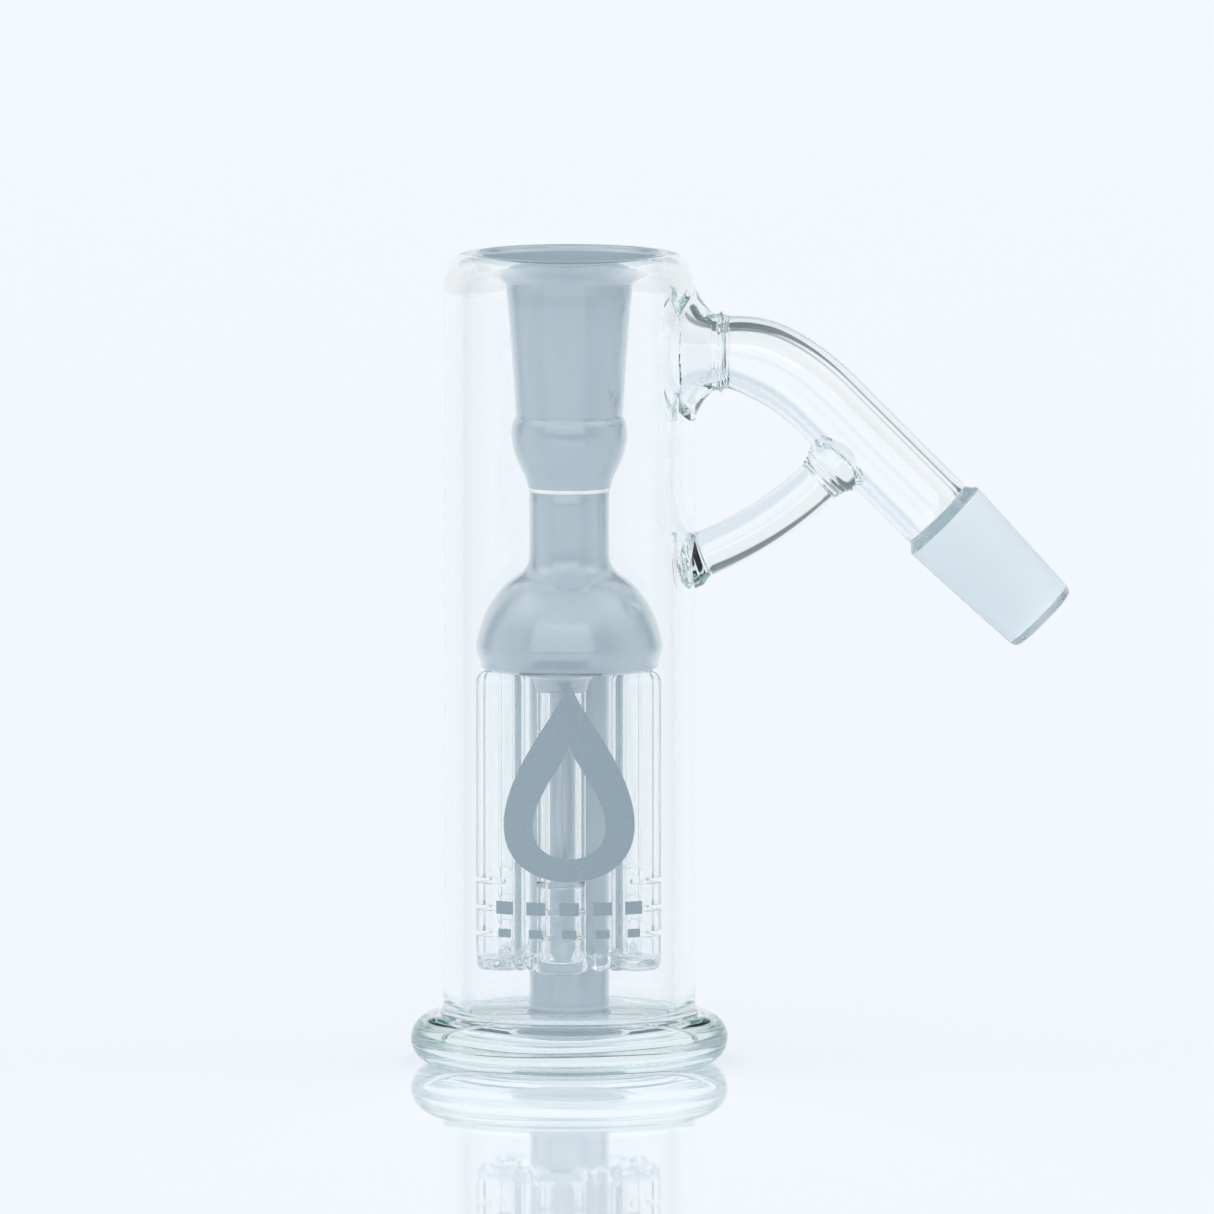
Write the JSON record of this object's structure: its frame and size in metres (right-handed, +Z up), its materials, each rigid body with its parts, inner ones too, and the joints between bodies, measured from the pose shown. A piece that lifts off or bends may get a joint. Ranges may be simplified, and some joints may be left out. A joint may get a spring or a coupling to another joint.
{
  "type": "tree percolator ash catcher",
  "caption": "Clear glass can on a round foot with a milky ground socket and tree percolator inside, and a braced bent outlet ending in a ground cone.",
  "frame": {"origin": "centre of the foot's flat underside, on the can's axis", "axes": "+Z up along the can's axis, +X towards the outlet, whose bend and brace lie in the XZ plane"},
  "size_m": [0.1015, 0.049, 0.1253],
  "materials": {
    "clear_glass": "clear borosilicate, fire-polished, with slight hand-drawn ripple",
    "milky_glass": "opaque blue-grey glass, glossy",
    "ground_glass": "finely ground, matte, with a clear collar and tip"
  },
  "bodies": {
    "root": {"foot_plate": "clear_glass", "can_body": "clear_glass", "seam_ring": "clear_glass", "arm_1": "clear_glass", "arm_2": "clear_glass", "arm_3": "clear_glass", "arm_4": "clear_glass", "arm_5": "clear_glass", "arm_6": "clear_glass", "bridge_1": "clear_glass", "bridge_2": "clear_glass", "bridge_3": "clear_glass", "bridge_4": "clear_glass", "bridge_5": "clear_glass", "bridge_6": "clear_glass", "post_weld": "clear_glass", "outlet_flare": "clear_glass", "outlet_ring": "clear_glass", "outlet_tube": "clear_glass", "brace_rod": "clear_glass", "brace_can_weld": "clear_glass", "brace_tube_weld": "clear_glass", "mouth_funnel": "milky_glass", "joint_socket": "milky_glass", "reducing_bulb": "milky_glass", "neck_tube": "milky_glass", "dome": "milky_glass", "dome_plate": "milky_glass", "support_post": "milky_glass", "ground_cone": "ground_glass"}
  },
  "joints": []
}
